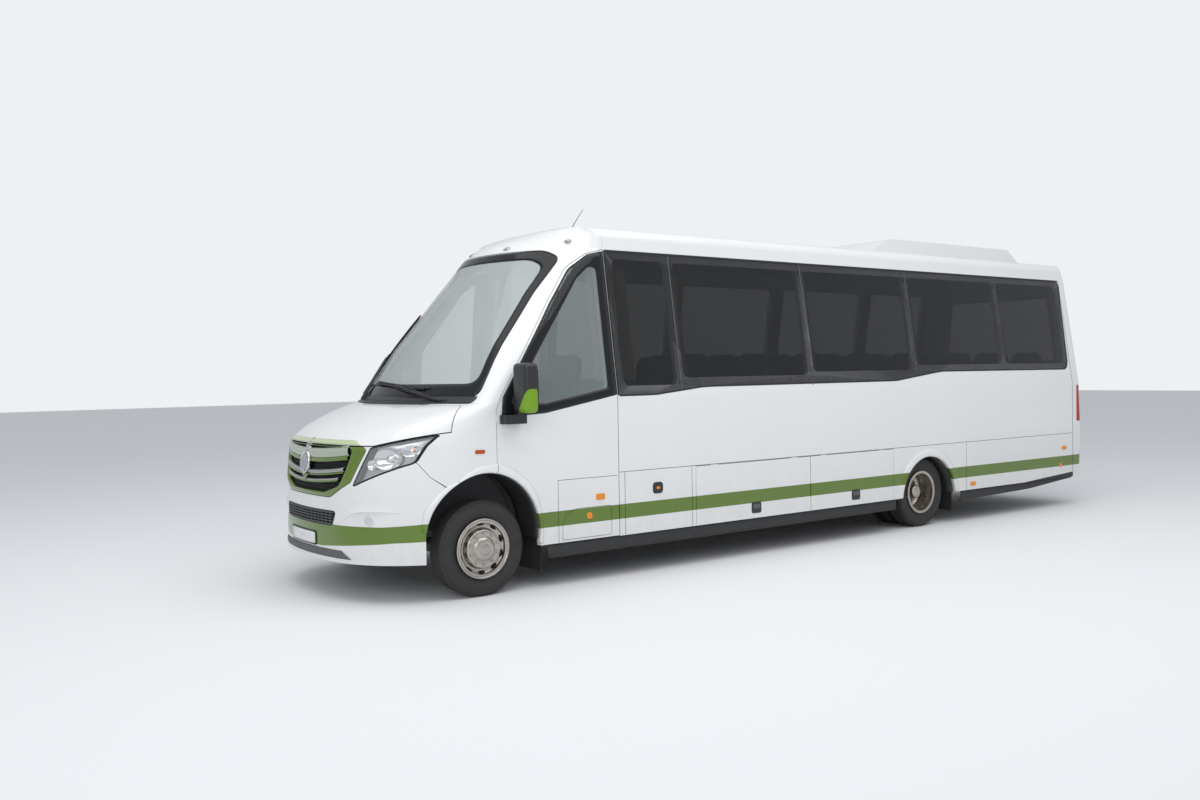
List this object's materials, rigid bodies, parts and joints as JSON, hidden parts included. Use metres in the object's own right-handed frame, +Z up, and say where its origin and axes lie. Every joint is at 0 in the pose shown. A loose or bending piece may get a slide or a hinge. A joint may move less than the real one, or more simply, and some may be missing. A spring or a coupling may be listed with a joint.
{
  "type": "minibus",
  "caption": "Full-width passenger minibus body on a ladder chassis, with hinged cab and entry doors, luggage hatches, bonnet and boot, steered front wheels and twin rear wheels.",
  "frame": {"origin": "on the ground, under the middle of the body's length and width", "axes": "+X towards the front of the vehicle, +Y to its left, +Z up"},
  "size_m": [9.595, 2.796, 3.2667],
  "materials": {
    "body_white": "gloss",
    "dark_plastic": "matt",
    "mesh": "satin",
    "tyre": "matt",
    "rim": "satin",
    "steel": "matt",
    "engine": "matt",
    "glass_clear": "gloss",
    "glass_dark": "gloss",
    "lamp_clear": "gloss",
    "lamp_red": "gloss",
    "lamp_amber": "gloss",
    "floor_cover": "matt",
    "seat_fabric": "matt",
    "curtain_fabric": "matt",
    "trim_grey": "satin",
    "rubber": "matt"
  },
  "bodies": {
    "root": {"side_wall_left": "body_white", "side_wall_right": "body_white", "roof": "body_white", "rear_wall": "body_white", "rear_lamps": "lamp_red", "saloon_glass": "glass_dark", "front_bumper": "body_white", "grille": "mesh", "headlamps": "lamp_clear", "cab_shell": "body_white", "windscreen": "glass_clear", "front_axle": "steel", "rear_axle": "steel", "chassis_frame": "steel", "leaf_springs": "steel", "powertrain": "engine", "fuel_tank": "dark_plastic", "luggage_trays": "steel", "floor": "floor_cover", "skirts": "dark_plastic", "mudflaps": "rubber", "dashboard": "trim_grey", "seats": "seat_fabric", "curtains": "curtain_fabric", "roof_unit": "body_white", "aerial": "dark_plastic", "marker_lamps": "lamp_amber", "wipers": "dark_plastic", "mirror_right": "dark_plastic"},
    "driver_door": {"driver_door": "body_white", "driver_door_glass": "glass_clear", "mirror_left": "dark_plastic"},
    "entry_door": {"entry_door": "body_white", "entry_door_glass": "glass_clear"},
    "luggage_door_left_front": {"luggage_door_left_front": "body_white"},
    "luggage_door_left_rear": {"luggage_door_left_rear": "body_white"},
    "luggage_door_right_front": {"luggage_door_right_front": "body_white"},
    "luggage_door_right_rear": {"luggage_door_right_rear": "body_white"},
    "boot_door": {"boot_door": "body_white"},
    "bonnet": {"bonnet": "body_white"},
    "steering_wheel": {"steering_wheel": "dark_plastic"},
    "knuckle_left": {"knuckle_left": "steel"},
    "knuckle_right": {"knuckle_right": "steel"},
    "front_wheel_left": {"front_tyre_left": "tyre", "front_rim_left": "rim"},
    "front_wheel_right": {"front_tyre_right": "tyre", "front_rim_right": "rim"},
    "rear_wheels_left": {"rear_tyres_left": "tyre", "rear_rims_left": "rim"},
    "rear_wheels_right": {"rear_tyres_right": "tyre", "rear_rims_right": "rim"}
  },
  "joints": [
    {"name": "steer_left", "type": "hinge", "parent": "root", "child": "knuckle_left", "pos_m": [3.8025, 0.82, 0.372], "axis": [0, 0, 1], "range_deg": [-32, 32]},
    {"name": "steer_right", "type": "hinge", "parent": "root", "child": "knuckle_right", "pos_m": [3.8025, -0.82, 0.372], "axis": [0, 0, 1], "range_deg": [-32, 32]},
    {"name": "front_wheel_left_spin", "type": "hinge", "parent": "knuckle_left", "child": "front_wheel_left", "pos_m": [3.8025, 0.995, 0.372], "axis": [0, 1, 0], "continuous": true},
    {"name": "front_wheel_right_spin", "type": "hinge", "parent": "knuckle_right", "child": "front_wheel_right", "pos_m": [3.8025, -0.995, 0.372], "axis": [0, 1, 0], "continuous": true},
    {"name": "rear_wheels_left_spin", "type": "hinge", "parent": "root", "child": "rear_wheels_left", "pos_m": [-1.6475, 0.845, 0.372], "axis": [0, 1, 0], "continuous": true},
    {"name": "rear_wheels_right_spin", "type": "hinge", "parent": "root", "child": "rear_wheels_right", "pos_m": [-1.6475, -0.845, 0.372], "axis": [0, 1, 0], "continuous": true},
    {"name": "steering_wheel_turn", "type": "hinge", "parent": "root", "child": "steering_wheel", "pos_m": [3.3825, 0.48, 1.4], "axis": [-0.5736, 0, 0.8192], "range_deg": [-384, 384]},
    {"name": "driver_door_hinge", "type": "hinge", "parent": "root", "child": "driver_door", "pos_m": [3.7, 1.16209, 1.37], "axis": [0, 0.0698, -0.9976], "range_deg": [0, 70]},
    {"name": "entry_door_hinge", "type": "hinge", "parent": "root", "child": "entry_door", "pos_m": [3.28, -1.16209, 1.37], "axis": [0, 0.0698, 0.9976], "range_deg": [0, 85]},
    {"name": "luggage_door_left_front_hinge", "type": "hinge", "parent": "root", "child": "luggage_door_left_front", "pos_m": [0.92, 1.153, 0.8725], "axis": [1, 0, 0], "range_deg": [0, 100]},
    {"name": "luggage_door_left_rear_hinge", "type": "hinge", "parent": "root", "child": "luggage_door_left_rear", "pos_m": [-0.45, 1.153, 0.8725], "axis": [1, 0, 0], "range_deg": [0, 100]},
    {"name": "luggage_door_right_front_hinge", "type": "hinge", "parent": "root", "child": "luggage_door_right_front", "pos_m": [0.92, -1.153, 0.8725], "axis": [-1, 0, 0], "range_deg": [0, 100]},
    {"name": "luggage_door_right_rear_hinge", "type": "hinge", "parent": "root", "child": "luggage_door_right_rear", "pos_m": [-0.45, -1.153, 0.8725], "axis": [-1, 0, 0], "range_deg": [0, 100]},
    {"name": "boot_door_hinge", "type": "hinge", "parent": "root", "child": "boot_door", "pos_m": [-4.7555, 0, 1.4975], "axis": [0, 1, 0], "range_deg": [0, 95]},
    {"name": "bonnet_hinge", "type": "hinge", "parent": "root", "child": "bonnet", "pos_m": [3.9085, 0, 1.52], "axis": [0, -1, 0], "range_deg": [0, 48]}
  ],
  "couplings": [
    {"joint": "steer_right", "follows": "steer_left", "ratio": 1},
    {"joint": "steering_wheel_turn", "follows": "steer_left", "ratio": 12}
  ]
}
